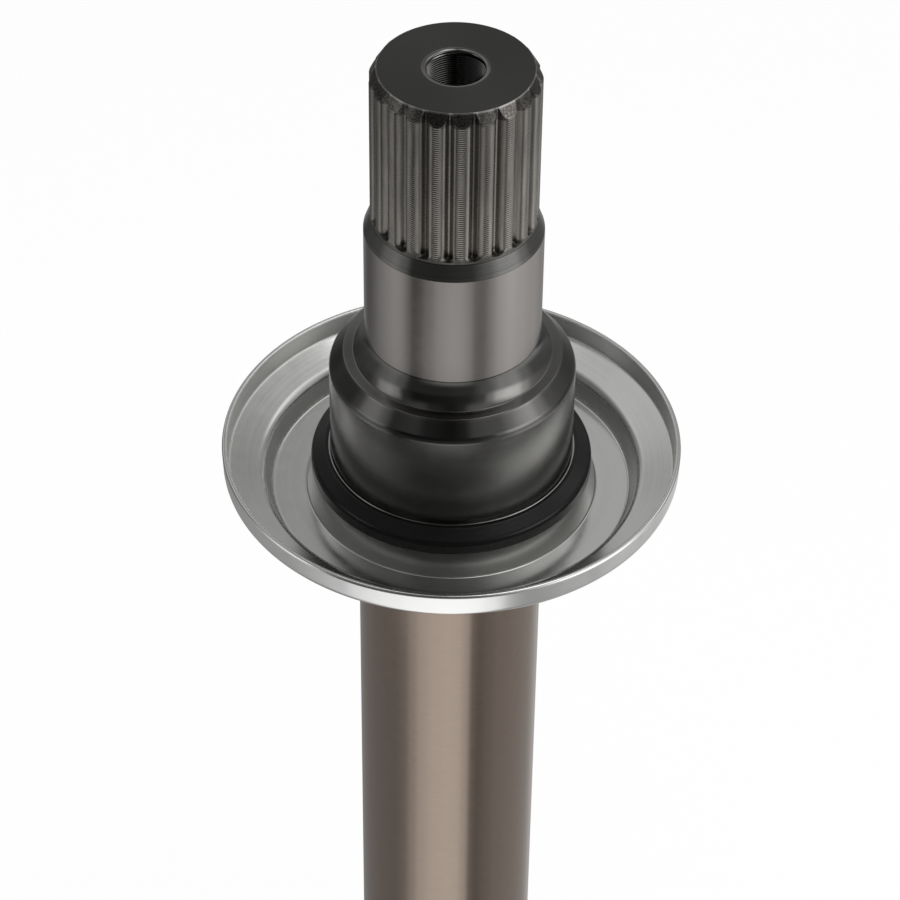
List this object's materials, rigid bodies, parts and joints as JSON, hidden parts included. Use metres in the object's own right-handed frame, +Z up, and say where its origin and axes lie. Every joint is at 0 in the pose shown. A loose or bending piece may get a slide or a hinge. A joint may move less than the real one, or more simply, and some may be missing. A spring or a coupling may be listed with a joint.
{
  "type": "axle shaft",
  "caption": "Turned axle shaft with a splined and tapped end, a ground journal, a bearing seat above a black spacer ring, a pressed dust shield with a turned-up lip, and a plain bar.",
  "frame": {"origin": "centre of the flat lower end, on the shaft's axis", "axes": "+Z up the shaft's axis towards the splined end, -Y towards the viewer of the picture, +X to that viewer's right"},
  "size_m": [0.0852, 0.0852, 0.35],
  "materials": {
    "shaft_steel": "turned and ground steel, darker on the splined end and brown-grey on the bar",
    "ring_black": "black oxide, satin",
    "shield_steel": "satin pressed sheet"
  },
  "bodies": {
    "root": {"axle_shaft": "shaft_steel", "spacer_ring": "ring_black", "dust_shield": "shield_steel"}
  },
  "joints": []
}
